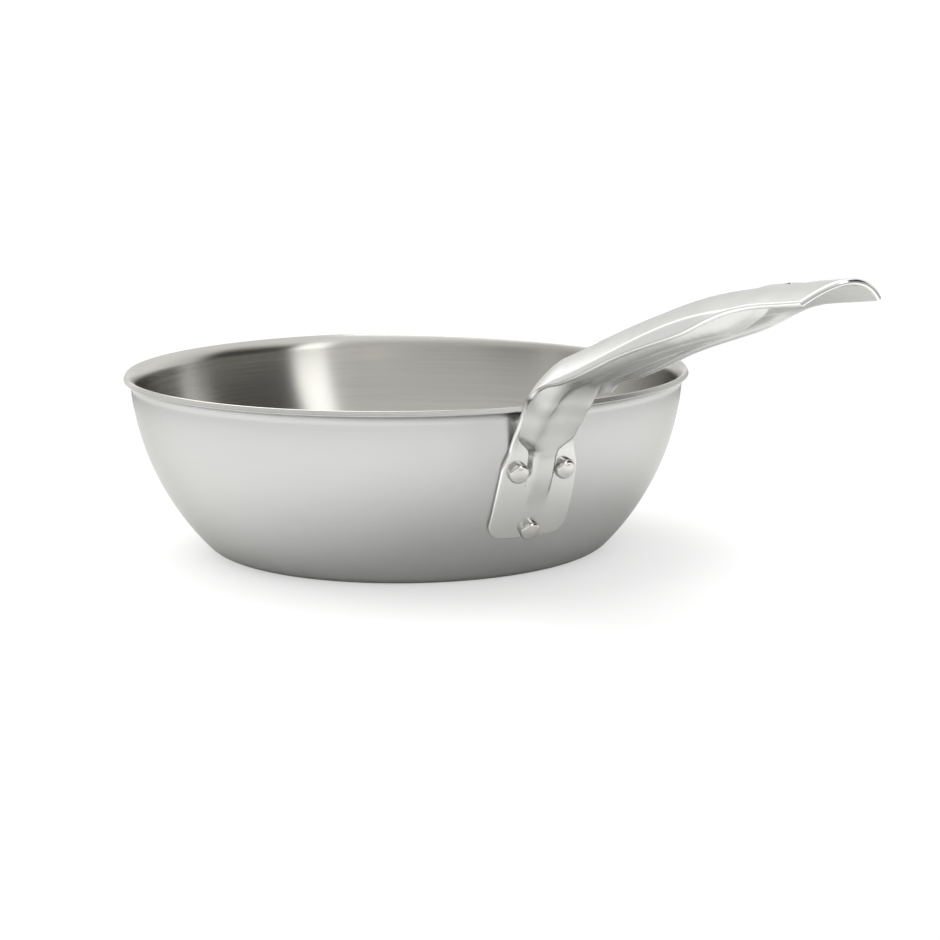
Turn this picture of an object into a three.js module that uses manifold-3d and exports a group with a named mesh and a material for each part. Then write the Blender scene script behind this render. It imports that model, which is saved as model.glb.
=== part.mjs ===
// A saute pan of three-ply clad sheet with a stamped sheet handle held on by three rivets.
// Millimetres, +Z up. The pan stands on z = 0 with its axis on Z, and the handle runs out along +X.
import * as THREE from 'three';
import { mergeVertices } from 'three/addons/utils/BufferGeometryUtils.js';
import Module from 'manifold-3d';

const wasm = await Module();
wasm.setup();

// pan body
const rimDiameter = 240;
const panHeight = 76;
const outerPlyThickness = 0.5;
const corePlyThickness = 1.3;
const innerPlyThickness = 0.5;
const bondLine = 0.02;
const baseCornerRadius = 11;
const wallFootAngle = 46;
const wallTopAngle = 85;
const lipRadius = 5;
const lipTurn = 62;

// handle sheet, plate on the wall and path of the grip
const sheetThickness = 2;
const plateGap = 0.25;
const plateFootHeight = 21.8;
const plateTopHeight = 58;
const plateHalfWidth = 17.2;
const plateCornerRadius = 7;
const neckHalfWidth = 14;
const bendHalfWidth = 19.3;
const gripHalfWidth = 17.1;
const foreHalfWidth = 16.6;
const tipHalfWidth = 15.8;
const gripStartReach = 154.5;
const gripStartHeight = 104.5;
const gripStartAngle = 20.2;
const tipReach = 309;
const tipHeight = 140.8;
const tipAngle = 7.9;
const wallPull = 27.9;
const bendPull = 29.4;
const gripPull = 82.4;
const tipPull = 58.6;
const tipSetback = 6.3;

// pressed section of the handle: rise of its crown above the folds, and the side walls below them
const bendCrownRise = 12.5;
const gripCrownRise = 12.5;
const foreCrownRise = 7.1;
const tipCrownRise = 6.4;
const foldRadius = 2.6;
const sideWallAngle = 78;
const gripWallLength = 2.5;
const foreWallLength = 4.5;

// groove pressed along the top: below it stands out as a bulge at the bend and as a rib between the rivets
const grooveDepth = 12.4;
const grooveFloorHalfWidth = 5.4;
const grooveFootHalfWidth = 11;
const noseFloorHalfWidth = 1.6;
const noseFootHalfWidth = 6.5;
const bulgeDepth = 11.3;
const bulgeFloorHalfWidth = 9;
const bulgeToEdge = 2.1;
const ribDepth = 3;
const ribFloorHalfWidth = 2.6;
const ribToRivet = 0.4;
const hollowGap = 0.1;

// hanging slot near the tip
const hangSlotLength = 16;
const hangSlotWidth = 8;
const hangSlotFromTip = 24;

// rivets
const upperRivetHeight = 50.4;
const upperRivetSpacing = 20;
const lowerRivetHeight = 26;
const shankDiameter = 5;
const shankClearance = 0.3;
const outerHeadDiameter = 8.4;
const outerHeadHeight = 3;
const outerHeadCrown = 0.5;
const innerHeadDiameter = 10;
const innerHeadHeight = 1.8;
const seatClearance = 0.3;

// facet counts
const bodySegments = 56;
const wallSteps = 5;
const cornerSteps = 2;
const lipSteps = 3;
const plateRows = 11;
const bendRows = 14;
const gripRows = 18;
const floorColumns = 2;
const flankColumns = 4;
const sideColumns = 7;
const rivetSegments = 16;

const radians = THREE.MathUtils.degToRad;

// merges shared corners and drops triangles that shrink to a line on an axis
function weld(geometry) {
  const bare = geometry.clone();
  bare.deleteAttribute('normal');
  bare.deleteAttribute('uv');
  const merged = mergeVertices(bare, 1e-4);
  const corners = merged.index.array;
  const kept = [];
  for (let i = 0; i < corners.length; i += 3) {
    const [a, b, c] = [corners[i], corners[i + 1], corners[i + 2]];
    if (a !== b && b !== c && c !== a) kept.push(a, b, c);
  }
  merged.setIndex(kept);
  return merged;
}

function toSolid(geometry) {
  const merged = weld(geometry);
  return new wasm.Manifold(new wasm.Mesh({
    numProp: 3,
    vertProperties: new Float32Array(merged.attributes.position.array),
    triVerts: new Uint32Array(merged.index.array),
  }));
}

function toGeometry(solid) {
  const mesh = solid.getMesh();
  const geometry = new THREE.BufferGeometry();
  geometry.setAttribute('position', new THREE.BufferAttribute(new Float32Array(mesh.vertProperties), 3));
  geometry.setIndex(new THREE.BufferAttribute(new Uint32Array(mesh.triVerts), 1));
  geometry.computeVertexNormals();
  return geometry;
}

// outer profile of the body: flat base, corner arc, wall arc, lip arc turning outward
const coreDepth = outerPlyThickness + bondLine;
const innerDepth = coreDepth + corePlyThickness + bondLine;
const wallThickness = innerDepth + innerPlyThickness;
const footAngle = radians(wallFootAngle);
const topAngle = radians(wallTopAngle);
const lipEndAngle = radians(wallTopAngle - lipTurn);
const lipEndHeight = panHeight - wallThickness * Math.cos(lipEndAngle);
const lipStartHeight = lipEndHeight - lipRadius * (Math.cos(lipEndAngle) - Math.cos(topAngle));
const lipStartRadius = rimDiameter / 2 - lipRadius * (Math.sin(topAngle) - Math.sin(lipEndAngle));
const cornerEndHeight = baseCornerRadius * (1 - Math.cos(footAngle));
const wallRadius = (lipStartHeight - cornerEndHeight) / (Math.cos(footAngle) - Math.cos(topAngle));
const wallCentreRadius = lipStartRadius - wallRadius * Math.sin(topAngle);
const wallCentreHeight = lipStartHeight + wallRadius * Math.cos(topAngle);
const cornerCentreRadius = wallCentreRadius + (wallRadius - baseCornerRadius) * Math.sin(footAngle);

// each profile point carries the angle of its tangent, so that the plies can be set off square to it
const profile = [{ r: 0, z: 0, angle: 0 }];
for (let i = 0; i <= cornerSteps; i++) {
  const angle = footAngle * i / cornerSteps;
  const r = cornerCentreRadius + baseCornerRadius * Math.sin(angle);
  profile.push({ r, z: baseCornerRadius * (1 - Math.cos(angle)), angle });
}
for (let i = 1; i <= wallSteps; i++) {
  const angle = footAngle + (topAngle - footAngle) * i / wallSteps;
  const r = wallCentreRadius + wallRadius * Math.sin(angle);
  profile.push({ r, z: wallCentreHeight - wallRadius * Math.cos(angle), angle });
}
for (let i = 1; i <= lipSteps; i++) {
  const angle = topAngle - radians(lipTurn) * i / lipSteps;
  const r = lipStartRadius + lipRadius * (Math.sin(topAngle) - Math.sin(angle));
  profile.push({ r, z: lipStartHeight + lipRadius * (Math.cos(angle) - Math.cos(topAngle)), angle });
}

// the profile moved inward by a depth into the sheet
function profileAt(depth) {
  return profile.map(({ r, z, angle }) => {
    const inward = new THREE.Vector2(-Math.sin(angle), Math.cos(angle));
    return new THREE.Vector2(r, z).addScaledVector(inward, depth);
  });
}

// one ply between two depths, revolved about the pan's axis
function plySolid(fromDepth, toDepth) {
  const outline = [...profileAt(fromDepth), ...profileAt(toDepth).reverse()];
  const shell = new THREE.LatheGeometry(outline, bodySegments, Math.PI / 2);
  shell.rotateX(Math.PI / 2);
  return toSolid(shell);
}

// point on the outer wall at a height, with the wall's angle there
function wallAt(height) {
  const angle = Math.acos((wallCentreHeight - height) / wallRadius);
  return { r: wallCentreRadius + wallRadius * Math.sin(angle), angle };
}

// spine of the handle in the plane y = 0: up the wall, round the bend, out along the grip
const hugRadius = wallRadius + plateGap;
const plateStart = wallAt(plateFootHeight).angle - Math.PI / 2;
const plateEnd = wallAt(plateTopHeight).angle - Math.PI / 2;
const plateArc = new THREE.EllipseCurve(
  wallCentreRadius, wallCentreHeight, hugRadius, hugRadius, plateStart, plateEnd);
const bendStart = plateArc.getPoint(1);
const bendStartWay = plateArc.getTangent(1);
const gripStart = new THREE.Vector2(gripStartReach, gripStartHeight);
const wayAt = angle => new THREE.Vector2(Math.cos(radians(angle)), Math.sin(radians(angle)));
const gripStartWay = wayAt(gripStartAngle);
const tip = new THREE.Vector2(tipReach, tipHeight);
const tipWay = wayAt(tipAngle);
const bendCurve = new THREE.CubicBezierCurve(
  bendStart,
  bendStart.clone().addScaledVector(bendStartWay, wallPull),
  gripStart.clone().addScaledVector(gripStartWay, -bendPull),
  gripStart);
const gripCurve = new THREE.CubicBezierCurve(
  gripStart,
  gripStart.clone().addScaledVector(gripStartWay, gripPull),
  tip.clone().addScaledVector(tipWay, -tipPull),
  tip);
const spineParts = [plateArc, bendCurve, gripCurve];

// a place on the spine: 0 to 1 along the plate, 1 to 2 round the bend, 2 to 3 along the grip
function spineAt(place) {
  const part = Math.min(Math.floor(place), spineParts.length - 1);
  const share = THREE.MathUtils.clamp(place - part, 0, 1);
  const point = spineParts[part].getPointAt(share);
  const way = spineParts[part].getTangentAt(share);
  return { point, up: new THREE.Vector2(-way.y, way.x) };
}

// smooth curve through [place, value] pairs that never overshoots them
function blend(pairs, place) {
  const last = pairs.length - 1;
  if (place <= pairs[0][0]) return pairs[0][1];
  if (place >= pairs[last][0]) return pairs[last][1];
  const slope = i => (pairs[i + 1][1] - pairs[i][1]) / (pairs[i + 1][0] - pairs[i][0]);
  const lean = i => {
    if (i === 0 || i === last) return 0;
    const [before, after] = [slope(i - 1), slope(i)];
    return before * after <= 0 ? 0 : 2 * before * after / (before + after);
  };
  const i = pairs.findIndex(pair => pair[0] > place) - 1;
  const step = pairs[i + 1][0] - pairs[i][0];
  const t = (place - pairs[i][0]) / step;
  const rise = t * t * (3 - 2 * t);
  const bow = step * (t * (1 - t) ** 2 * lean(i) - t * t * (1 - t) * lean(i + 1));
  return pairs[i][1] + (pairs[i + 1][1] - pairs[i][1]) * rise + bow;
}

// how the pressed section changes along the spine; half widths are taken at the folds
const ribFootHalfWidth = (upperRivetSpacing - outerHeadDiameter) / 2 - ribToRivet;
const bulgeFootHalfWidth = bendHalfWidth - bulgeToEdge;
const halfWidths = [
  [0, plateHalfWidth], [0.4, plateHalfWidth], [0.8, plateHalfWidth * 0.96], [1.05, neckHalfWidth],
  [1.4, bendHalfWidth], [2, gripHalfWidth], [2.65, foreHalfWidth], [2.9, tipHalfWidth], [3, tipHalfWidth]];
const wallHug = [[0, 1], [1, 1], [1.25, 0]];
const crownRises = [
  [1, 0], [1.4, bendCrownRise], [2, gripCrownRise],
  [2.65, foreCrownRise], [2.85, tipCrownRise], [3, tipCrownRise]];
const foldShares = [[1.55, 0], [1.9, 1], [2.55, 1], [2.8, 0]];
const wallLengths = [
  [1.55, 0], [1.9, gripWallLength], [2.2, gripWallLength], [2.5, foreWallLength], [2.8, 0]];
const grooveDrops = [
  [0.35, 0], [0.75, ribDepth * 0.8], [1.02, ribDepth * 1.1], [1.18, bulgeDepth * 0.9], [1.3, bulgeDepth],
  [1.6, bulgeDepth], [2.05, grooveDepth], [2.54, grooveDepth], [2.66, grooveDepth * 0.7], [2.74, 0]];
const floorHalfWidths = [
  [1.02, ribFloorHalfWidth], [1.13, bulgeFloorHalfWidth], [1.45, bulgeFloorHalfWidth],
  [1.85, grooveFloorHalfWidth], [2.38, grooveFloorHalfWidth],
  [2.68, noseFloorHalfWidth], [2.8, grooveFloorHalfWidth]];
const footHalfWidths = [
  [0.98, ribFootHalfWidth], [1.12, bulgeFootHalfWidth * 0.85], [1.3, bulgeFootHalfWidth],
  [1.55, bulgeFootHalfWidth], [1.95, grooveFootHalfWidth], [2.38, grooveFootHalfWidth],
  [2.72, noseFootHalfWidth], [2.82, grooveFootHalfWidth]];

// half width at the folds, with the plate's lower corners rounded
function halfWidthAt(place) {
  const fromFoot = place * plateArc.getLength();
  const corner = Math.max(plateCornerRadius - fromFoot, 0);
  const cut = plateCornerRadius - Math.sqrt(plateCornerRadius ** 2 - corner ** 2);
  return blend(halfWidths, place) - cut;
}

// the section's distance sideways and drop at a column counted from the middle:
// groove floor, groove flank, then crown, fold and side wall by even steps along the sheet
const columns = floorColumns + flankColumns + sideColumns;
function sectionAt(place, column) {
  const half = halfWidthAt(place);
  const floor = blend(floorHalfWidths, place);
  const foot = blend(footHalfWidths, place);
  const rise = blend(crownRises, place);
  const floorShare = Math.min(column / floorColumns, 1);
  const flankShare = THREE.MathUtils.clamp((column - floorColumns) / flankColumns, 0, 1);
  const lean = Math.atan2(2 * rise, half);
  const turn = (radians(sideWallAngle) - lean) * blend(foldShares, place);
  const foldLength = foldRadius * turn;
  const sideLength = half - foot + foldLength + blend(wallLengths, place);
  const along = sideLength * Math.max(column - floorColumns - flankColumns, 0) / sideColumns;
  const crown = floor * floorShare + (foot - floor) * flankShare + Math.min(along, half - foot);
  const bent = lean + THREE.MathUtils.clamp(along - half + foot, 0, foldLength) / foldRadius;
  const down = Math.max(along - half + foot - foldLength, 0);
  const groove = blend(grooveDrops, place) * (1 - THREE.MathUtils.smoothstep(crown, floor, foot));
  const foldOut = foldRadius * (Math.sin(bent) - Math.sin(lean));
  const foldDown = foldRadius * (Math.cos(lean) - Math.cos(bent));
  return {
    sideways: crown + foldOut + down * Math.cos(bent),
    drop: rise * (crown / half) ** 2 + groove + foldDown + down * Math.sin(bent),
  };
}

// upper face of the sheet: the spine's point, moved square to the spine by the pressed section
function upperFace(place, column, side) {
  const { sideways, drop } = sectionAt(place, column);
  const spread = sideways / halfWidthAt(place);
  const setback = tipSetback * spread ** 2 * THREE.MathUtils.smoothstep(place, 2.75, 3);
  const { point, up } = spineAt(place - setback / gripCurve.getLength());
  const wall = wallAt(Math.min(point.y, plateTopHeight));
  const hugCircle = wall.r / Math.sin(wall.angle);
  const hug = hugCircle - Math.sqrt(hugCircle ** 2 - sideways ** 2);
  const depth = drop - blend(wallHug, place) * hug;
  return new THREE.Vector3(point.x - up.x * depth, side * sideways, point.y - up.y * depth);
}

// lower face of the sheet: the upper face moved through the sheet, square to it
function lowerFace(place, column, side) {
  const near = 1e-3;
  const along = upperFace(Math.min(place + near, 3), column, side)
    .sub(upperFace(Math.max(place - near, 0), column, side));
  const inner = upperFace(place, Math.max(column - 0.5, 0), side);
  const outer = upperFace(place, Math.min(column + 0.5, columns), side);
  const across = outer.sub(inner).multiplyScalar(side);
  const normal = column === 0 ? new THREE.Vector3(-along.z, 0, along.x) : along.cross(across);
  return upperFace(place, column, side).addScaledVector(normal.normalize(), -sheetThickness);
}

// in the hollow under a tight bead the lower face would cross itself: there its two sides stop just apart
function openFace(place, column, side) {
  const spot = lowerFace(place, column, side);
  const shift = new THREE.Vector3();
  for (const next of [column - 1, column + 1]) {
    if (next < 0 || next > columns) continue;
    const way = upperFace(place, next, side).sub(upperFace(place, column, side)).normalize();
    const run = lowerFace(place, next, side).sub(spot).dot(way);
    if (run < hollowGap) shift.addScaledVector(way, (run - hollowGap) / 2);
  }
  return spot.add(shift);
}

// the handle sheet: a flat blank bent and pressed to the section above
function handleSolid() {
  const rows = plateRows + bendRows + gripRows;
  const blank = new THREE.BoxGeometry(rows, 2 * columns, 1, rows, 2 * columns, 1);
  const spots = blank.attributes.position;
  const placeOf = row => {
    if (row <= plateRows) return (row / plateRows) ** 1.5;
    if (row <= plateRows + bendRows) return 1 + ((row - plateRows) / bendRows) ** 1.4;
    return 2 + (row - plateRows - bendRows) / gripRows;
  };
  for (let i = 0; i < spots.count; i++) {
    const place = placeOf(Math.round(spots.getX(i) + rows / 2));
    const signed = Math.round(spots.getY(i));
    const column = Math.abs(signed);
    const side = signed < 0 ? -1 : 1;
    const face = spots.getZ(i) < 0 ? openFace : upperFace;
    const spot = face(place, column, side);
    spots.setXYZ(i, spot.x, spot.y, spot.z);
  }
  return toSolid(blank);
}

// where each rivet sits on the wall, with its axis square to the wall
function rivetFrame(height, sideways) {
  const { r, angle } = wallAt(height);
  const turn = Math.asin(sideways / r);
  const frame = new THREE.Matrix4().makeRotationZ(turn);
  frame.multiply(new THREE.Matrix4().makeTranslation(r, 0, height));
  frame.multiply(new THREE.Matrix4().makeRotationY(Math.PI - angle));
  return frame;
}
const rivetFrames = {
  rivet_upper_left: rivetFrame(upperRivetHeight, -upperRivetSpacing / 2),
  rivet_upper_right: rivetFrame(upperRivetHeight, upperRivetSpacing / 2),
  rivet_lower: rivetFrame(lowerRivetHeight, 0),
};

// how far the hollow, faceted inside of the wall rises round a flat head of a given radius
function hollowUnder(radius) {
  const hollow = wallRadius - wallThickness;
  const wallFacet = (topAngle - footAngle) / wallSteps;
  const facetRise = hollow * (1 - Math.cos(wallFacet / 2));
  const roundRise = rimDiameter / 2 * (1 - Math.cos(Math.PI / bodySegments));
  return hollow - Math.sqrt(hollow ** 2 - radius ** 2) + facetRise + roundRise;
}

// a rivet along its own axis, with zero at the outer face of the wall
function rivetGeometry() {
  const shank = shankDiameter / 2;
  const outer = outerHeadDiameter / 2;
  const inner = innerHeadDiameter / 2;
  const outerSeat = plateGap + sheetThickness + seatClearance;
  const innerSeat = -wallThickness - seatClearance - hollowUnder(inner);
  const outerTop = outerSeat + outerHeadHeight;
  const innerTop = innerSeat - innerHeadHeight;
  const outline = [
    [0, innerTop],
    [inner * 0.6, innerTop + innerHeadHeight * 0.2],
    [inner * 0.9, innerTop + innerHeadHeight * 0.6],
    [inner, innerSeat],
    [shank, innerSeat],
    [shank, outerSeat],
    [outer, outerSeat],
    [outer, outerTop - 2 * outerHeadCrown],
    [outer - outerHeadCrown, outerTop - outerHeadCrown],
    [outer * 0.5, outerTop - outerHeadCrown * 0.2],
    [0, outerTop],
  ].map(([r, z]) => new THREE.Vector2(r, z));
  const rivet = new THREE.LatheGeometry(outline, rivetSegments);
  return rivet.rotateX(Math.PI / 2);
}

// the hole that a rivet's shank passes through, long enough for the wall and the plate
const holeLength = 4 * (wallThickness + sheetThickness);
const holes = Object.values(rivetFrames).map(frame => {
  const hole = new THREE.CylinderGeometry(
    shankDiameter / 2 + shankClearance, shankDiameter / 2 + shankClearance, holeLength, rivetSegments);
  return toSolid(hole.rotateX(Math.PI / 2).applyMatrix4(frame));
});
const drill = solid => holes.reduce((left, hole) => left.subtract(hole), solid);

// the hanging slot: a long round-ended hole straight down through the arch
function hangSlotSolid() {
  const half = hangSlotWidth / 2;
  const run = hangSlotLength / 2 - half;
  const shape = new THREE.Shape();
  shape.absarc(run, 0, half, -Math.PI / 2, Math.PI / 2, false);
  shape.absarc(-run, 0, half, Math.PI / 2, Math.PI * 1.5, false);
  const depth = 2 * (tipCrownRise + sheetThickness) + hangSlotLength / 2;
  const slot = new THREE.ExtrudeGeometry(shape, { depth, bevelEnabled: false, curveSegments: 8 });
  return toSolid(slot.translate(tipReach - hangSlotFromTip, 0, tipHeight - sheetThickness - depth / 2));
}

const steel = (color, roughness) => new THREE.MeshStandardMaterial({ color, roughness, metalness: 1 });

function piece(name, geometry, material) {
  const mesh = new THREE.Mesh(geometry, material);
  mesh.name = name;
  return mesh;
}

const body = new THREE.Group();
const outerPly = drill(plySolid(0, outerPlyThickness));
const corePly = drill(plySolid(coreDepth, coreDepth + corePlyThickness));
const innerPly = drill(plySolid(innerDepth, wallThickness));
body.add(piece('outer_ply', toGeometry(outerPly), steel('#c4c5c1', 0.34)));
body.add(piece('core_ply', toGeometry(corePly), steel('#b9bcc0', 0.45)));
body.add(piece('inner_ply', toGeometry(innerPly), steel('#b4b3ab', 0.3)));

const handleGroup = new THREE.Group();
const handle = drill(handleSolid()).subtract(hangSlotSolid());
handleGroup.add(piece('handle', toGeometry(handle), steel('#d0d1ce', 0.38)));
for (const [name, frame] of Object.entries(rivetFrames)) {
  const rivet = piece(name, weld(rivetGeometry()), steel('#d6d6d2', 0.25));
  rivet.applyMatrix4(frame);
  handleGroup.add(rivet);
}

const group = new THREE.Group();
group.add(body, handleGroup);
export default group;
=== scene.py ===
import math

import bmesh
import bpy
import numpy as np
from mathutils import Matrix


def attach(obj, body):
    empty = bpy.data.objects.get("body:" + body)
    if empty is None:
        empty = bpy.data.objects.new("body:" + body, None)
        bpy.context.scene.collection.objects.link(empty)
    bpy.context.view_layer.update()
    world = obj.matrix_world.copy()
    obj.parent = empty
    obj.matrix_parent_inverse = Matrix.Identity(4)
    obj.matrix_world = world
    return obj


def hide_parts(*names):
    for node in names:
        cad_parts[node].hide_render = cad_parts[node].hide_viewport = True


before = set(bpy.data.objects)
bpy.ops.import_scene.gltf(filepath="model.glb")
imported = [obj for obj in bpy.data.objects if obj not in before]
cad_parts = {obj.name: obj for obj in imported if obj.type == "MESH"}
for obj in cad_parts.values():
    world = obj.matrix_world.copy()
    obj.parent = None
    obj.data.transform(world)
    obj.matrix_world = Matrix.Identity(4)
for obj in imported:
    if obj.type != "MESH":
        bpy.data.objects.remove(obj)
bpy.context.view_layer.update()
mm = 0.001
print("frame loaded:", sorted(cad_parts))


# shared tools

weldDistance = 1e-7   # metres between points that are one
sharpAngle = 40.0     # degrees at which shading breaks


def linearColour(hexText):
    # sRGB hex to linear: each channel through the sRGB curve
    parts = np.array([int(hexText[i:i + 2], 16) for i in (1, 3, 5)]) / 255
    linear = np.where(parts <= 0.04045, parts / 12.92, ((parts + 0.055) / 1.055) ** 2.4)
    return (*linear.tolist(), 1.0)


def grey(tone):
    # one linear tone in all three channels
    return (tone, tone, tone, 1)


def addNode(tree, kind, values=None, links=None, **settings):
    # adds one node, sets its options, fills its sockets and links them
    node = tree.nodes.new(kind)
    for key, value in settings.items():
        setattr(node, key, value)
    for key, value in (values or {}).items():
        node.inputs[key].default_value = value
    for key, source in (links or {}).items():
        tree.links.new(source, node.inputs[key])
    return node


def meshFrom(name, points, quads, depth=None):
    # points in mm and four corners a face, put into a mesh as whole arrays, then seams and poles closed;
    # depth is 0 on a sheet's upper face, 1 on its lower face and between them at its eased edge
    mesh = bpy.data.meshes.new(name)
    mesh.vertices.add(len(points))
    mesh.vertices.foreach_set("co", (points * mm).astype(np.float32).ravel())
    mesh.loops.add(quads.size)
    mesh.loops.foreach_set("vertex_index", quads.astype(np.int32).ravel())
    mesh.polygons.add(len(quads))
    mesh.polygons.foreach_set("loop_start", np.arange(0, quads.size, 4, dtype=np.int32))
    mesh.update(calc_edges=True)
    if depth is not None:
        mesh.attributes.new("depth", "FLOAT", "POINT").data.foreach_set("value", depth.astype(np.float32))
    work = bmesh.new()
    work.from_mesh(mesh)
    bmesh.ops.remove_doubles(work, verts=work.verts, dist=weldDistance)
    bmesh.ops.recalc_face_normals(work, faces=work.faces)
    work.to_mesh(mesh)
    work.free()
    mesh.polygons.foreach_set("use_smooth", np.ones(len(mesh.polygons), dtype=bool))
    mesh.set_sharp_from_angle(angle=math.radians(sharpAngle))
    return mesh


def addPiece(name, mesh, material, node):
    # one finished piece at the origin, standing for its CAD node
    piece = bpy.data.objects.new(name, mesh)
    bpy.context.scene.collection.objects.link(piece)
    mesh.materials.append(material)
    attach(piece, "root")
    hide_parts(node)
    return piece


def revolve(outline, around):
    # a closed outline of (r, z) turned about Z: x = r cos a, y = r sin a
    angle = np.linspace(0, 2 * np.pi, around + 1)
    r, z = outline[:, :1], outline[:, 1:]
    points = np.stack([r * np.cos(angle), r * np.sin(angle), z + 0 * angle], -1)
    return points.reshape(-1, 3), gridQuads(len(outline), around + 1)


def gridQuads(rows, columns):
    # corners of each cell of a rows by columns grid, row after row
    corner = np.arange(rows * columns).reshape(rows, columns)
    cells = [corner[:-1, :-1], corner[:-1, 1:], corner[1:, 1:], corner[1:, :-1]]
    return np.stack(cells, -1).reshape(-1, 4)


# camera and studio

studio = {
    "cameraPlace": (0.887369, -0.439529, 0.215166),
    "cameraTurn": (79.45716, 0.46981, 62.02249),   # degrees about X, Y, Z
    "sensor": 36.0, "lens": 89.527, "farthest": 50.0,
    "floorRadius": 0.4, "floorSides": 96, "floorHex": "#f4f4f3", "floorRoughness": 0.9, "floorShine": 0.1,
    "paper": 1.05, "floorLift": 0.5,   # the photo's white, and how far the floor is lifted toward it
    "cameraWay": (0.896, -0.444, 0.0), "cameraRight": (0.444, 0.896, 0.0),
    # grey of the room by degrees right of the camera's back, seen from the pan
    "roomTones": (
        (-180, 1.2), (-170, 1.2), (-157, 1.05), (-150, 2.4), (-144, 2.4), (-140, 1.0), (-105, 1.0), (-78, 0.7),
        (35, 0.78), (39, 2.4), (51, 2.4), (55, 0.05), (98, 0.05), (112, 0.9), (150, 1.3), (180, 1.3)),
    "skyFrom": 0.5, "skyTo": 0.85, "sky": 1.15, "groundFrom": -0.01, "groundTo": -0.08, "ground": 0.5,
    "sunAngle": 60.0, "sunPower": 1.7, "sunTurn": (0.0, 30.0, -156.4),
}
cameraData = bpy.data.cameras.new("photoCamera")
cameraData.sensor_width = studio["sensor"]
cameraData.lens = studio["lens"]
cameraData.clip_end = studio["farthest"]
camera = bpy.data.objects.new("photoCamera", cameraData)
camera.location = studio["cameraPlace"]
camera.rotation_euler = [math.radians(a) for a in studio["cameraTurn"]]
bpy.context.scene.collection.objects.link(camera)
bpy.context.scene.camera = camera
bpy.context.scene.view_settings.view_transform = "Standard"

around = np.linspace(0, 2 * np.pi, studio["floorSides"] + 1)[:-1]
ring = studio["floorRadius"] * np.stack([np.cos(around), np.sin(around), 0 * around], -1)
floorMesh = bpy.data.meshes.new("studioFloor")
floorMesh.from_pydata(ring.tolist(), [], [list(range(len(ring)))])
floor = bpy.data.objects.new("studioFloor", floorMesh)
bpy.context.scene.collection.objects.link(floor)
floorPaint = bpy.data.materials.new("paleStudioFloor")
floorPaint.use_nodes = True
floorTree = floorPaint.node_tree
shader = floorTree.nodes["Principled BSDF"]
shader.inputs["Base Color"].default_value = linearColour(studio["floorHex"])
shader.inputs["Roughness"].default_value = studio["floorRoughness"]
shader.inputs["Specular IOR Level"].default_value = studio["floorShine"]
# the photo's floor is printed white: for the camera alone its shadows are lifted toward white
lift = addNode(floorTree, "ShaderNodeMath", {1: studio["floorLift"]},
               {0: addNode(floorTree, "ShaderNodeLightPath").outputs["Is Camera Ray"]}, operation="MULTIPLY")
white = addNode(floorTree, "ShaderNodeEmission", {"Color": grey(studio["paper"])})
lifted = addNode(floorTree, "ShaderNodeMixShader", links={
    0: lift.outputs["Value"], 1: shader.outputs["BSDF"], 2: white.outputs["Emission"]})
floorTree.links.new(lifted.outputs["Shader"], floorTree.nodes["Material Output"].inputs["Surface"])
floorMesh.materials.append(floorPaint)

# a pale room: white overhead and behind the pan, mid grey at the camera's back, a dark panel to its right,
# and two narrow bright strips, one beside that panel and one behind the pan's left
world = bpy.data.worlds.new("paleRoom")
bpy.context.scene.world = world
world.use_nodes = True
tree = world.node_tree
tree.nodes.clear()
towards = addNode(tree, "ShaderNodeTexCoord").outputs["Generated"]
upward = addNode(tree, "ShaderNodeSeparateXYZ", links={"Vector": towards}).outputs["Z"]
across, front = (addNode(tree, "ShaderNodeVectorMath", {1: studio[key]}, {0: towards}, operation="DOT_PRODUCT")
                 for key in ("cameraRight", "cameraWay"))
turn = addNode(tree, "ShaderNodeMath", links={0: across.outputs["Value"], 1: front.outputs["Value"]},
               operation="ARCTAN2")
share = addNode(tree, "ShaderNodeMapRange", {"From Min": -math.pi, "From Max": math.pi},
                {"Value": turn.outputs["Value"]})
facing = addNode(tree, "ShaderNodeValToRGB", links={"Fac": share.outputs["Result"]})
ramp = facing.color_ramp
for element, (turned, tone) in zip(ramp.elements, (studio["roomTones"][0], studio["roomTones"][-1])):
    element.position, element.color = (turned + 180) / 360, grey(tone)
for turned, tone in studio["roomTones"][1:-1]:
    ramp.elements.new((turned + 180) / 360).color = grey(tone)
room = facing.outputs["Color"]
for key in ("ground", "sky"):
    span = {"From Min": studio[key + "From"], "From Max": studio[key + "To"]}
    level = addNode(tree, "ShaderNodeMapRange", span, {"Value": upward},
                    interpolation_type="SMOOTHSTEP").outputs["Result"]
    room = addNode(tree, "ShaderNodeMix", {"B": grey(studio[key])}, {"Factor": level, "A": room},
                   data_type="RGBA").outputs["Result"]
seen = addNode(tree, "ShaderNodeLightPath").outputs["Is Camera Ray"]
shown = addNode(tree, "ShaderNodeMix", {"B": grey(studio["paper"])}, {"Factor": seen, "A": room},
                data_type="RGBA")
sky = addNode(tree, "ShaderNodeBackground", {"Strength": 1.0}, {"Color": shown.outputs["Result"]})
addNode(tree, "ShaderNodeOutputWorld", links={"Surface": sky.outputs["Background"]})

# one broad light from behind the pan's left, so soft that the contact shadow fades within a few centimetres
sunData = bpy.data.lights.new("broadBackLeft", "SUN")
sunData.angle, sunData.energy = math.radians(studio["sunAngle"]), studio["sunPower"]
sun = bpy.data.objects.new("broadBackLeft", sunData)
sun.rotation_euler = [math.radians(a) for a in studio["sunTurn"]]
bpy.context.scene.collection.objects.link(sun)
print("camera and studio set")


# materials

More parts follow.
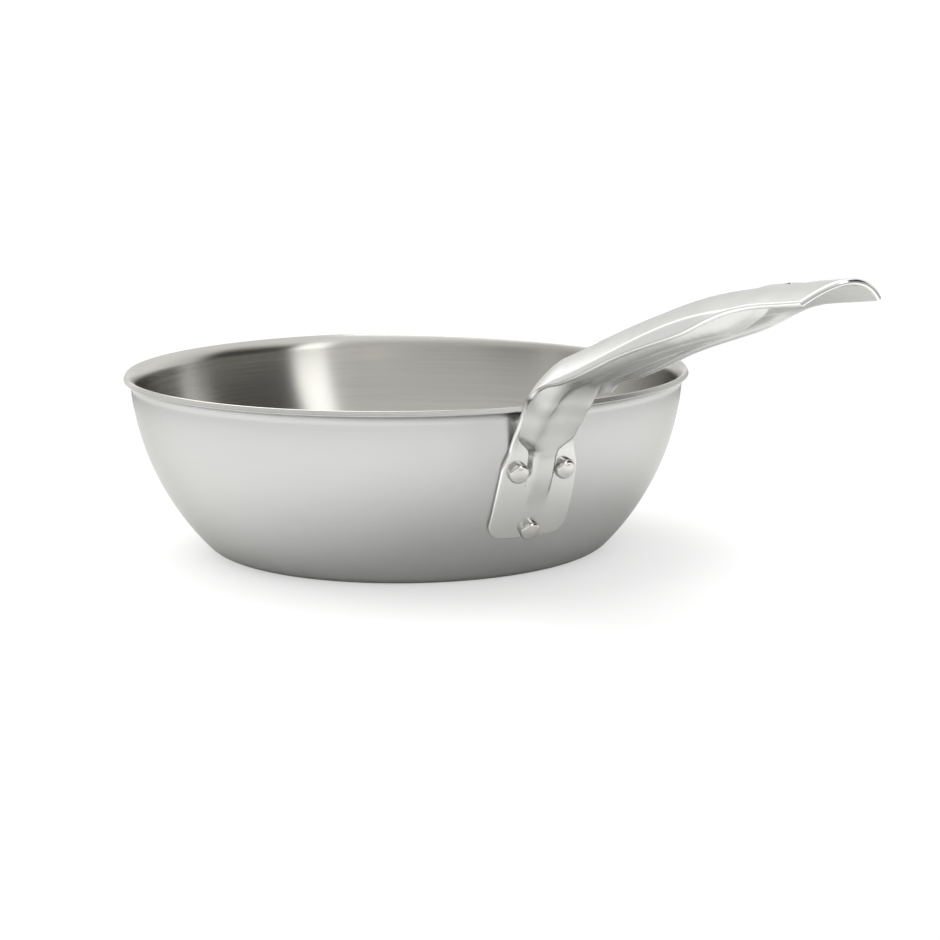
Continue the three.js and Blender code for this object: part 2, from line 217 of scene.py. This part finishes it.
finish = {
    "noiseLow": 0.3, "noiseHigh": 0.7,   # the part of the noise's range that the gloss follows
    "brushTint": "#dcdcda", "brushSpread": 0.08, "brushSwing": 2.0, "brushDetail": 2.0, "brushBreak": 0.5,
    "brushTurn": 0.25,                   # a quarter turn, so that reflections smear square to the lines
    "satinTint": "#d0d0ce", "satinSpread": 0.06, "satinDetail": 1.0,
    # edgeGain sets how wide the cut edges' painted highlight and smoother gloss reach
    "edgeGain": 8.0, "edgeRoughness": 0.14,
}


def bareMetal(name, tintHex):
    # a new metal material, with its tree, its shader and its place in Object coordinates
    material = bpy.data.materials.new(name)
    material.use_nodes = True
    tree = material.node_tree
    metal = tree.nodes["Principled BSDF"]
    metal.inputs["Metallic"].default_value = 1.0
    metal.inputs["Specular Tint"].default_value = linearColour(tintHex)
    return material, tree, metal, addNode(tree, "ShaderNodeTexCoord").outputs["Object"]


def toneFrom(tree, noise, darkHex, lightHex):
    # colour: from dark to light by the noise
    return addNode(tree, "ShaderNodeMix", {"A": linearColour(darkHex), "B": linearColour(lightHex)},
                   {"Factor": noise}, data_type="RGBA").outputs["Result"]


def glossFrom(tree, noise, roughness, spread):
    # roughness: its mean times 1 - spread to 1 + spread, as the noise runs from noiseLow to noiseHigh
    span = {"From Min": finish["noiseLow"], "From Max": finish["noiseHigh"],
            "To Min": roughness * (1 - spread), "To Max": roughness * (1 + spread)}
    return addNode(tree, "ShaderNodeMapRange", span, {"Value": noise}).outputs["Result"]


def brushedMetal(name, lightHex, darkHex, roughness, lineMm, lean):
    # sheet brushed round the pan: rings that shift in tone and gloss, a noise over (direction, r + z).
    # Real brush lines, under 0.1 mm, are too fine to show, so lineMm draws them coarser
    material, tree, metal, spot = bareMetal(name, finish["brushTint"])
    height = addNode(tree, "ShaderNodeSeparateXYZ", links={"Vector": spot}).outputs["Z"]
    flat = addNode(tree, "ShaderNodeVectorMath", {1: (1, 1, 0)}, {0: spot},
                   operation="MULTIPLY").outputs["Vector"]
    radius = addNode(tree, "ShaderNodeVectorMath", links={0: flat}, operation="LENGTH").outputs["Value"]
    way = addNode(tree, "ShaderNodeVectorMath", links={0: flat}, operation="NORMALIZE").outputs["Vector"]
    run = addNode(tree, "ShaderNodeMath", links={0: radius, 1: height}, operation="ADD").outputs["Value"]
    rise = addNode(tree, "ShaderNodeMath", {1: 1 / (lineMm * mm)}, {0: run},
                   operation="MULTIPLY").outputs["Value"]
    up = addNode(tree, "ShaderNodeCombineXYZ", links={"Z": rise}).outputs["Vector"]
    swing = addNode(tree, "ShaderNodeVectorMath", {"Scale": finish["brushSwing"]}, {0: way},
                    operation="SCALE").outputs["Vector"]
    ring = addNode(tree, "ShaderNodeVectorMath", links={0: swing, 1: up}, operation="ADD").outputs["Vector"]
    lines = addNode(tree, "ShaderNodeTexNoise", {
        "Scale": 1.0, "Detail": finish["brushDetail"], "Roughness": finish["brushBreak"]},
        {"Vector": ring}).outputs["Fac"]
    grain = addNode(tree, "ShaderNodeTangent", direction_type="RADIAL", axis="Z").outputs["Tangent"]
    metal.inputs["Anisotropic"].default_value = lean
    metal.inputs["Anisotropic Rotation"].default_value = finish["brushTurn"]
    tree.links.new(toneFrom(tree, lines, darkHex, lightHex), metal.inputs["Base Color"])
    tree.links.new(glossFrom(tree, lines, roughness, finish["brushSpread"]), metal.inputs["Roughness"])
    tree.links.new(grain, metal.inputs["Tangent"])
    return material


def satinMetal(name, lightHex, darkHex, roughness, grainMm, edgeHighlightHex=None):
    # an even satin, as from a tumbler, with a faint, broad drift in tone and gloss: a noise of grainMm.
    # With an edge highlight colour, the cut edges get a painted highlight, a brighter colour, and a smoother,
    # ground gloss:
    # share = edgeGain d (1 - d), d the depth through the sheet
    material, tree, metal, spot = bareMetal(name, finish["satinTint"])
    drift = addNode(tree, "ShaderNodeTexNoise", {"Scale": 1 / (grainMm * mm), "Detail": finish["satinDetail"]},
                    {"Vector": spot}).outputs["Fac"]
    tone = toneFrom(tree, drift, darkHex, lightHex)
    gloss = glossFrom(tree, drift, roughness, finish["satinSpread"])
    if edgeHighlightHex:
        depth = addNode(tree, "ShaderNodeAttribute", attribute_name="depth").outputs["Fac"]
        other = addNode(tree, "ShaderNodeMath", {0: 1.0}, {1: depth}, operation="SUBTRACT").outputs["Value"]
        both = addNode(tree, "ShaderNodeMath", links={0: depth, 1: other},
                       operation="MULTIPLY").outputs["Value"]
        edge = addNode(tree, "ShaderNodeMath", {1: finish["edgeGain"]}, {0: both}, operation="MULTIPLY",
                       use_clamp=True).outputs["Value"]
        # painted highlight: the cut edges' colour is mixed toward the bright edge colour
        tone = addNode(tree, "ShaderNodeMix", {"B": linearColour(edgeHighlightHex)}, {"Factor": edge, "A": tone},
                       data_type="RGBA").outputs["Result"]
        gloss = addNode(tree, "ShaderNodeMix", {"B": finish["edgeRoughness"]}, {"Factor": edge, "A": gloss},
                        data_type="FLOAT").outputs["Result"]
    tree.links.new(tone, metal.inputs["Base Color"])
    tree.links.new(gloss, metal.inputs["Roughness"])
    return material


outerSteel = brushedMetal("brushedStainlessOutside", "#c7c7c6", "#c2c2c1", roughness=0.3, lineMm=0.4, lean=0.6)
innerSteel = brushedMetal("brushedStainlessInside", "#c3c2bd", "#b6b5af", roughness=0.24, lineMm=0.6, lean=0.8)
coreMetal = satinMetal("rolledAluminiumCore", "#c9c8c4", "#bfbeba", roughness=0.4, grainMm=3.0)
# the handle's cut edges carry a painted highlight colour
handleSteel = satinMetal("tumbledStainlessHandle", "#d8d8d6", "#d5d5d3", roughness=0.24, grainMm=9.0,
                         edgeHighlightHex="#f2f2f0")
rivetSteel = satinMetal("brightStainlessRivet", "#d2d1cd", "#cac9c5", roughness=0.16, grainMm=2.0)
print("materials made")


# pan

pan = {
    "rimRadius": 120.0, "height": 76.0, "outerPly": 0.5, "corePly": 1.3, "innerPly": 0.5, "bond": 0.02,
    "cornerRadius": 11.0, "footAngle": 46.0, "topAngle": 85.0, "lipRadius": 5.0, "lipTurn": 62.0,
    "edgeRound": 0.45, "edgeSteps": 6, "around": 288,
    "baseSteps": 6, "cornerSteps": 14, "wallSteps": 48, "lipSteps": 18,
}
# the outer face's arcs: angles from level, then centres and ends, all tangent to one another
foot, top = math.radians(pan["footAngle"]), math.radians(pan["topAngle"])
lipEnd = math.radians(pan["topAngle"] - pan["lipTurn"])
coreDepth = pan["outerPly"] + pan["bond"]
innerDepth = coreDepth + pan["corePly"] + pan["bond"]
sheet = innerDepth + pan["innerPly"]
lipHigh = pan["height"] - sheet * math.cos(lipEnd)
lipLow = lipHigh - pan["lipRadius"] * (math.cos(lipEnd) - math.cos(top))
lipIn = pan["rimRadius"] - pan["lipRadius"] * (math.sin(top) - math.sin(lipEnd))
cornerTop = pan["cornerRadius"] * (1 - math.cos(foot))
wallRadius = (lipLow - cornerTop) / (math.cos(foot) - math.cos(top))
wallMidR = lipIn - wallRadius * math.sin(top)
wallMidZ = lipLow + wallRadius * math.cos(top)
cornerMidR = wallMidR + (wallRadius - pan["cornerRadius"]) * math.sin(foot)


def edgeInset(depth):
    # the cut edge of the whole sheet is eased by a quarter round at each face: inset = e - sqrt(e^2 - s^2),
    # with s what the depth from the nearer face falls short of e
    ease = pan["edgeRound"]
    short = np.clip(ease - np.minimum(depth, sheet - depth), 0, ease)
    return ease - np.sqrt(np.maximum(ease ** 2 - short ** 2, 0))


def panLine(depth):
    # flat base, corner arc, wall arc and lip arc, each set inward by the depth square to the outer face
    c = np.linspace(0, foot, pan["cornerSteps"] + 1)
    w = np.linspace(foot, top, pan["wallSteps"] + 1)[1:]
    stop = lipEnd + edgeInset(np.array(depth)) / (pan["lipRadius"] + depth)
    e = np.linspace(top, stop, pan["lipSteps"] + 1)[1:]
    base = np.linspace(0, cornerMidR, pan["baseSteps"] + 1)[:-1]
    r = np.concatenate([base, cornerMidR + pan["cornerRadius"] * np.sin(c), wallMidR + wallRadius * np.sin(w),
                        lipIn + pan["lipRadius"] * (np.sin(top) - np.sin(e))])
    z = np.concatenate([0 * base, pan["cornerRadius"] * (1 - np.cos(c)), wallMidZ - wallRadius * np.cos(w),
                        lipLow + pan["lipRadius"] * (np.cos(e) - np.cos(top))])
    a = np.concatenate([0 * base, c, w, e])
    return np.stack([r - depth * np.sin(a), z + depth * np.cos(a)], -1)


def plyOutline(fromDepth, toDepth):
    # outer line out to the rim, the eased edge across, inner line back to the axis
    across = np.linspace(fromDepth, toDepth, pan["edgeSteps"] + 1)[1:-1]
    edge = np.array([panLine(d)[-1] for d in across])
    return np.concatenate([panLine(fromDepth), edge, panLine(toDepth)[::-1]])


for name, node, slot, material, depths in (
        ("panOutside", "outer_ply", "outer_steel", outerSteel, (0, pan["outerPly"])),
        ("panCore", "core_ply", "core_aluminium", coreMetal, (coreDepth, coreDepth + pan["corePly"])),
        ("panInside", "inner_ply", "inner_steel", innerSteel, (innerDepth, sheet))):
    points, quads = revolve(plyOutline(*depths), pan["around"])
    addPiece(name, meshFrom(name, points, quads), material, node)
print("pan made")


# handle

handle = {
    "sheet": 2.0, "plateGap": 0.25, "plateFoot": 21.8, "plateTop": 58.0, "plateHalf": 17.2, "plateCorner": 7.0,
    "neckHalf": 14.0, "bulgeHalf": 15.6, "bendHalf": 18.6, "gripHalf": 17.1, "foreHalf": 16.6, "tipHalf": 15.8,
    "gripStart": (154.5, 104.5), "gripStartAngle": 20.2, "tip": (309.0, 140.8), "tipAngle": 7.9,
    "wallPull": 27.9, "bendPull": 29.4, "gripPull": 82.4, "tipPull": 58.6, "tipFrom": 2.75, "tipSetback": 6.3,
    "bulgeRise": 7.4, "bendRise": 12.6, "gripRise": 12.5, "foreRise": 7.1, "tipRise": 6.4,
    "foldRadius": 2.6, "sideWallAngle": 78.0, "gripWall": 2.5, "foreWall": 4.5,
    "groove": 12.4, "grooveFloor": 5.4, "grooveFoot": 11.0, "noseFloor": 1.6, "noseFoot": 6.5,
    "bulge": 11.3, "bulgeFloor": 7.6, "bulgeFoot": 13.4, "throatFloor": 6.4, "throatFoot": 16.0,
    "rib": 3.0, "ribFloor": 2.6, "ribFoot": 5.4,
    "slotLength": 16.0, "slotWidth": 8.0, "slotFromTip": 24.0,
    "edgeRound": 0.9, "hollowGap": 0.02, "hollowPasses": 80, "spineSamples": 2001, "slotSamples": 4001,
    # rows along the handle, with powers that crowd them at the start of a run, and columns across it
    "plateRows": 70, "plateCrowd": 1.4, "bendRows": 70, "bendCrowd": 1.3, "gripRows": 150, "slotRows": 28,
    "tipRows": 24, "edgeSteps": 6, "columns": 52,
    "floorLanes": 6, "flankLanes": 16, "crownLanes": 10, "foldLanes": 8, "wallLanes": 6,
}


def blend(pairs, place):
    # a smooth curve through [place, value] pairs that never overshoots them (monotone cubic)
    x, y = np.array(pairs, float).T
    slope = np.diff(y) / np.diff(x)
    before, after = slope[:-1], slope[1:]
    same = before * after > 0
    lean = np.zeros(len(x))
    lean[1:-1] = np.where(same, 2 * before * after / np.where(same, before + after, 1), 0)
    i = np.clip(np.searchsorted(x, place, side="right") - 1, 0, len(x) - 2)
    step = x[i + 1] - x[i]
    t = np.clip((place - x[i]) / step, 0, 1)
    bow = step * (t * (1 - t) ** 2 * lean[i] - t * t * (1 - t) * lean[i + 1])
    return y[i] + (y[i + 1] - y[i]) * t * t * (3 - 2 * t) + bow


def smoothStep(value, low, high):
    # 0 below low, 1 above high, and 3 t^2 - 2 t^3 between them
    t = np.clip((value - low) / (high - low), 0, 1)
    return t * t * (3 - 2 * t)


def wallAt(height):
    # radius and angle of the pan's outer wall at a height: cos angle = (wallMidZ - height) / wallRadius
    angle = np.arccos((wallMidZ - height) / wallRadius)
    return wallMidR + wallRadius * np.sin(angle), angle


def bezier(corners, t):
    # a cubic from the first corner to the last, pulled by the two between:
    # the sum of a (1 - t)^3, 3 b t (1 - t)^2, 3 c t^2 (1 - t) and d t^3
    a, b, c, d = (np.array(p)[:, None] for p in corners)
    return a * (1 - t) ** 3 + 3 * b * t * (1 - t) ** 2 + 3 * c * t * t * (1 - t) + d * t ** 3


def spineParts():
    # three runs in the plane y = 0: arc up the wall, Bezier round the bend, Bezier out along the grip
    t = np.linspace(0, 1, handle["spineSamples"])
    low, high = (wallAt(handle[k])[1] - math.pi / 2 for k in ("plateFoot", "plateTop"))
    turn = low + (high - low) * t
    hug = wallRadius + handle["plateGap"]
    plate = np.stack([wallMidR + hug * np.cos(turn), wallMidZ + hug * np.sin(turn)])
    way = np.array([-math.sin(high), math.cos(high)])
    start, tip = np.array(handle["gripStart"]), np.array(handle["tip"])
    angles = map(math.radians, (handle["gripStartAngle"], handle["tipAngle"]))
    out, end = (np.array([math.cos(a), math.sin(a)]) for a in angles)
    top = plate[:, -1]
    bend = bezier((top, top + handle["wallPull"] * way, start - handle["bendPull"] * out, start), t)
    grip = bezier((start, start + handle["gripPull"] * out, tip - handle["tipPull"] * end, tip), t)
    runs = []
    for line in (plate, bend, grip):
        length = np.concatenate([[0], np.cumsum(np.hypot(*np.diff(line)))])
        ways = np.gradient(line, axis=1)
        runs.append((line, ways / np.hypot(*ways), length))
    return runs


spine = spineParts()
plateLength, gripLength = spine[0][2][-1], spine[2][2][-1]


def spineAt(place):
    # point and square-up direction at a place: 0 to 1 plate, 1 to 2 bend, 2 to 3 grip
    part = np.clip(np.floor(place), 0, 2)
    out = np.zeros((4,) + np.shape(place))
    for k, (line, ways, length) in enumerate(spine):
        here = np.clip(place - k, 0, 1) * length[-1]
        found = np.stack([np.interp(here, length, row) for row in (*line, -ways[1], ways[0])])
        out = np.where(part == k, found, out)
    return out


# how the pressed section changes along the spine, as [place, value or share of a value];
# half widths are taken at the folds
halfWidths = [
    [0, handle["plateHalf"]], [0.4, handle["plateHalf"]], [0.8, handle["plateHalf"] * 0.96],
    [1.05, handle["neckHalf"]], [1.2, handle["neckHalf"]], [1.4, handle["bulgeHalf"]],
    [1.6, handle["bendHalf"]], [1.8, handle["bendHalf"] - 0.5], [2.05, handle["gripHalf"]],
    [2.65, handle["foreHalf"]], [2.9, handle["tipHalf"]], [3, handle["tipHalf"]]]
wallHug = [[0, 1], [1, 1], [1.25, 0]]
crownRises = [
    [1, 0], [1.2, handle["bulgeRise"] * 0.46], [1.4, handle["bulgeRise"]], [1.6, handle["bendRise"]],
    [2.05, handle["gripRise"]], [2.65, handle["foreRise"]], [2.85, handle["tipRise"]], [3, handle["tipRise"]]]
foldShares = [[1.68, 0], [2.05, 1], [2.55, 1], [2.8, 0]]
wallLengths = [
    [1.68, 0], [2.1, handle["gripWall"]], [2.2, handle["gripWall"]], [2.5, handle["foreWall"]], [2.8, 0]]
grooveDrops = [
    [0.35, 0], [0.75, handle["rib"] * 0.8], [0.95, handle["rib"] * 1.1], [1.12, handle["bulge"] * 0.55],
    [1.28, handle["bulge"] * 0.82], [1.48, handle["bulge"]], [1.7, handle["bulge"]],
    [2.05, handle["groove"]], [2.54, handle["groove"]], [2.66, handle["groove"] * 0.7], [2.74, 0]]
floorHalfs = [
    [1.02, handle["ribFloor"]], [1.13, handle["bulgeFloor"]], [1.35, handle["bulgeFloor"]],
    [1.6, handle["throatFloor"]], [1.85, handle["grooveFloor"]], [2.38, handle["grooveFloor"]],
    [2.68, handle["noseFloor"]], [2.8, handle["grooveFloor"]]]
footHalfs = [
    [0.98, handle["ribFoot"]], [1.12, handle["bulgeFoot"] * 0.88], [1.3, handle["bulgeFoot"]],
    [1.58, handle["throatFoot"]], [1.95, handle["grooveFoot"]], [2.38, handle["grooveFoot"]],
    [2.72, handle["noseFoot"]], [2.82, handle["grooveFoot"]]]


def halfWidthAt(place):
    # half width at the folds, with the plate's lower corners rounded by a quarter circle
    corner = np.maximum(handle["plateCorner"] - place * plateLength, 0)
    rounded = handle["plateCorner"] - np.sqrt(handle["plateCorner"] ** 2 - corner ** 2)
    return blend(halfWidths, place) - rounded


def slotHalfAt(place):
    # half width of the round-ended hanging slot at a place: sqrt(half^2 - past^2), past its straight part
    run = np.abs(spineAt(place)[0] - (handle["tip"][0] - handle["slotFromTip"]))
    half = handle["slotWidth"] / 2
    past = np.maximum(run - (handle["slotLength"] / 2 - half), 0)
    return np.sqrt(np.maximum(half ** 2 - past ** 2, 0))


def sectionAt(place, lane):
    # distance sideways and drop: lane 0 to 1 groove floor, 1 to 2 groove flank, 2 to 3 crown (a parabola),
    # 3 to 4 the fold (an arc), 4 to 5 the straight side wall
    half, rise = halfWidthAt(place), blend(crownRises, place)
    floor, foot = blend(floorHalfs, place), blend(footHalfs, place)
    slot = slotHalfAt(place)
    lean = np.arctan2(2 * rise, half)
    turn = (math.radians(handle["sideWallAngle"]) - lean) * blend(foldShares, place)
    crown = np.where(lane <= 1, slot + (floor - slot) * lane, floor + (foot - floor) * np.clip(lane - 1, 0, 1))
    crown = crown + (half - foot) * np.clip(lane - 2, 0, 1)
    bent = lean + turn * np.clip(lane - 3, 0, 1)
    down = blend(wallLengths, place) * np.clip(lane - 4, 0, 1)
    groove = blend(grooveDrops, place) * (1 - smoothStep(crown, floor, foot))
    folded = handle["foldRadius"] * (np.cos(lean) - np.cos(bent))
    sideways = crown + handle["foldRadius"] * (np.sin(bent) - np.sin(lean)) + down * np.cos(bent)
    drop = rise * (crown / half) ** 2 + groove + folded + down * np.sin(bent)
    return sideways, drop


def upperFace(place, lane, side):
    # the spine's point moved square to the spine by the section, with the tip's end curved back at its corners;
    # on the wall the drop is less by the wall's own bow, R - sqrt(R^2 - sideways^2)
    sideways, drop = sectionAt(place, lane)
    outward = (sideways / halfWidthAt(place)) ** 2
    setback = handle["tipSetback"] * outward * smoothStep(place, handle["tipFrom"], 3)
    x, z, upX, upZ = spineAt(place - setback / gripLength)
    r, angle = wallAt(np.minimum(z, handle["plateTop"]))
    circle = r / np.sin(angle)
    drop = drop - blend(wallHug, place) * (circle - np.sqrt(circle ** 2 - sideways ** 2))
    return np.stack([x - upX * drop, side * sideways, z - upZ * drop], -1)


def faceNormal(place, lane, side):
    # square to the upper face: cross product of its step along the handle and its step across;
    # where a step across shrinks to nothing (no wall there), the last real one before it is kept
    near, nudge, noStep, atMiddle = 1e-3, 0.03, 1e-4, 1e-9
    along = (upperFace(np.minimum(place + near, 3), lane, side)
             - upperFace(np.maximum(place - near, 0), lane, side))
    across = (upperFace(place, np.minimum(lane + nudge, 5), side)
              - upperFace(place, np.maximum(lane - nudge, 0), side))
    for column in range(1, lane.shape[1]):
        flat = np.linalg.norm(across[:, column], axis=-1) < noStep
        across[flat, column] = across[flat, column - 1]
    normal = np.cross(along, across * side)
    normal[..., 1] = np.where((lane < atMiddle) & (slotHalfAt(place) < atMiddle), 0, normal[..., 1])
    return normal / np.linalg.norm(normal, axis=-1, keepdims=True)


def openHollow(upper, lower):
    # in the hollow under a tight bead the lower face would cross itself: neighbours across the sheet are
    # moved apart along the upper face's step until each step runs forward by at least hollowGap
    noStep = 1e-9
    way = np.diff(upper, axis=1)
    way = way / np.maximum(np.linalg.norm(way, axis=-1, keepdims=True), noStep)
    for again in range(handle["hollowPasses"]):
        run = (np.diff(lower, axis=1) * way).sum(-1, keepdims=True)
        short = np.maximum(handle["hollowGap"] - run, 0) / 2
        lower[:, :-1] -= way * short
        lower[:, 1:] += way * short
    return lower


def evenColumns(upper, lower, steps):
    # each row of both faces again at even lengths along the upper face, and close together at the outer edge:
    # the last columns stand at the given steps from it
    run = np.linalg.norm(np.diff(upper, axis=1), axis=-1).cumsum(axis=1)
    run = np.concatenate([0 * run[:, :1], run], axis=1)
    even = np.linspace(0, 1, handle["columns"] + 1)[:-1] * (run[:, -1:] - handle["edgeRound"])
    wanted = np.concatenate([even, run[:, -1:] - steps[::-1]], axis=1)
    faces = [np.stack([np.stack([np.interp(to, at, line) for line in row.T], -1)
                       for to, at, row in zip(wanted, run, face)]) for face in (upper, lower)]
    return faces[0], faces[1], run[:, -1:] - wanted


def handleRows(steps):
    # places of the rows: close together at the foot's edge and the tip's edge, and at the slot's round ends
    slotMid = handle["tip"][0] - handle["slotFromTip"]
    places = np.linspace(2, 3, handle["slotSamples"])
    slotEnds = np.interp([slotMid - handle["slotLength"] / 2, slotMid + handle["slotLength"] / 2],
                         spineAt(places)[0], places)
    swing = (1 - np.cos(np.linspace(0, np.pi, handle["slotRows"] + 1))) / 2
    footRound, tipRound = steps[-1] / plateLength, 3 - steps[-1] / gripLength
    return np.concatenate([
        steps[:-1] / plateLength,
        footRound + (1 - footRound) * np.linspace(0, 1, handle["plateRows"] + 1)[:-1] ** handle["plateCrowd"],
        1 + np.linspace(0, 1, handle["bendRows"] + 1)[:-1] ** handle["bendCrowd"],
        np.linspace(2, slotEnds[0], handle["gripRows"])[:-1],
        slotEnds[0] + (slotEnds[1] - slotEnds[0]) * swing,
        np.linspace(slotEnds[1], tipRound, handle["tipRows"])[1:],
        3 - steps[-2::-1] / gripLength])


def handleHalf(side):
    # one half of the sheet from its middle (or the slot's edge) to its side:
    # upper face, and lower face one sheet under it
    noSlot = 1e-6
    steps = handle["edgeRound"] * (1 - np.cos(np.linspace(0, np.pi / 2, handle["edgeSteps"] + 1)))
    rows = handleRows(steps)
    counts = [handle[k] for k in ("floorLanes", "flankLanes", "crownLanes", "foldLanes", "wallLanes")]
    runs = [np.linspace(k, k + 1, count + 1)[:-1] for k, count in enumerate(counts)]
    lanes = np.concatenate(runs + [[len(counts)]])
    place, lane = np.meshgrid(rows, lanes, indexing="ij")
    upper = upperFace(place, lane, side)
    lower = openHollow(upper, upper - handle["sheet"] * faceNormal(place, lane, side))
    upper, lower, fromSide = evenColumns(upper, lower, steps)
    # eased edges: toward a border both faces draw in to the sheet's middle
    # by edgeRound (1 - sqrt(1 - (1 - d)^2)), d the distance from the border over edgeRound
    fromEnd = np.minimum(rows * plateLength, (3 - rows) * gripLength)[:, None]
    near = np.clip(np.minimum(fromSide, fromEnd) / handle["edgeRound"], 0, 1)
    drawn = handle["edgeRound"] * (1 - np.sqrt(1 - (1 - near) ** 2)) / handle["sheet"]
    through = (lower - upper) * drawn[..., None]
    slotRow = slotHalfAt(rows) > noSlot
    return upper + through, lower - through, drawn, slotRow[:-1] | slotRow[1:]


def handleMesh():
    # both halves as closed shells: two faces, the outer edge, the two ends,
    # and the slot's wall where it is open
    points, quads, depth, count = [], [], [], 0
    for side in (1, -1):
        upper, lower, drawn, slotOpen = handleHalf(side)
        rows, columns = upper.shape[:2]
        index = np.arange(rows * columns).reshape(rows, columns) + count
        under = index + rows * columns
        points += [upper.reshape(-1, 3), lower.reshape(-1, 3)]
        depth += [drawn.ravel(), 1 - drawn.ravel()]
        quads += [gridQuads(rows, columns) + count, gridQuads(rows, columns)[:, ::-1] + count + rows * columns]
        for a, b, keep in ((index[:, -1], under[:, -1], slice(None)), (index[0], under[0], slice(None)),
                           (index[-1], under[-1], slice(None)), (index[:, 0], under[:, 0], slotOpen)):
            quads.append(np.stack([a[:-1], a[1:], b[1:], b[:-1]], -1)[keep])
        count += 2 * rows * columns
    return meshFrom("handleSheet", np.concatenate(points), np.concatenate(quads), np.concatenate(depth))


addPiece("handleSheet", handleMesh(), handleSteel, "handle")
print("handle made")


# rivets

rivet = {
    "upperHeight": 50.4, "upperSpacing": 20.0, "lowerHeight": 26.0, "shank": 2.5,
    "outerHead": 4.2, "outerHigh": 3.0, "outerRound": 1.5, "crown": 0.5, "innerHead": 5.0, "innerHigh": 1.8,
    "outerSink": 0.15, "innerSink": 0.1, "headLift": 0.3, "around": 56, "roundSteps": 12, "faceSteps": 8,
}


def rivetOutline():
    # inner mushroom head, shank, outer drum head with a rounded rim and a slightly domed face
    plateFace = handle["plateGap"] + handle["sheet"]
    seat = plateFace - rivet["outerSink"]
    high = plateFace + rivet["headLift"] + rivet["outerHigh"]
    inSeat = -sheet + rivet["innerSink"]
    inHigh = -sheet - rivet["headLift"] - rivet["innerHigh"]
    flatHalf = rivet["outerHead"] - rivet["outerRound"]
    t = np.linspace(0, np.pi / 2, rivet["roundSteps"] + 1)
    mushroom = np.stack([rivet["innerHead"] * np.sin(t), inSeat + (inHigh - inSeat) * np.cos(t)], -1)
    rim = np.stack([rivet["outerHead"] - rivet["outerRound"] * (1 - np.cos(t)),
                    high - rivet["crown"] - rivet["outerRound"] * (1 - np.sin(t))], -1)
    face = np.linspace(flatHalf, 0, rivet["faceSteps"] + 1)[1:]
    dome = np.stack([face, high - rivet["crown"] * (face / flatHalf) ** 2], -1)
    middle = np.array([[rivet["shank"], inSeat], [rivet["shank"], seat], [rivet["outerHead"], seat]])
    return np.concatenate([mushroom, middle, rim, dome])


def rivetMesh(name, height, sideways):
    # the outline turned about its own axis, then tipped square to the wall and swung round the pan
    points, quads = revolve(rivetOutline(), rivet["around"])
    r, angle = wallAt(height)
    tip, swing = math.pi - angle, math.asin(sideways / r)
    tipped = np.array([[math.cos(tip), 0, -math.sin(tip)], [0, 1, 0], [math.sin(tip), 0, math.cos(tip)]])
    swung = np.array([[math.cos(swing), math.sin(swing), 0], [-math.sin(swing), math.cos(swing), 0], [0, 0, 1]])
    placed = points @ tipped + np.array([r, 0, height])
    return meshFrom(name, placed @ swung, quads)


for name, node, height, sideways in (
        ("rivetUpperLeft", "rivet_upper_left", rivet["upperHeight"], -rivet["upperSpacing"] / 2),
        ("rivetUpperRight", "rivet_upper_right", rivet["upperHeight"], rivet["upperSpacing"] / 2),
        ("rivetLower", "rivet_lower", rivet["lowerHeight"], 0.0)):
    addPiece(name, rivetMesh(name, height, sideways), rivetSteel, node)
print("rivets made")
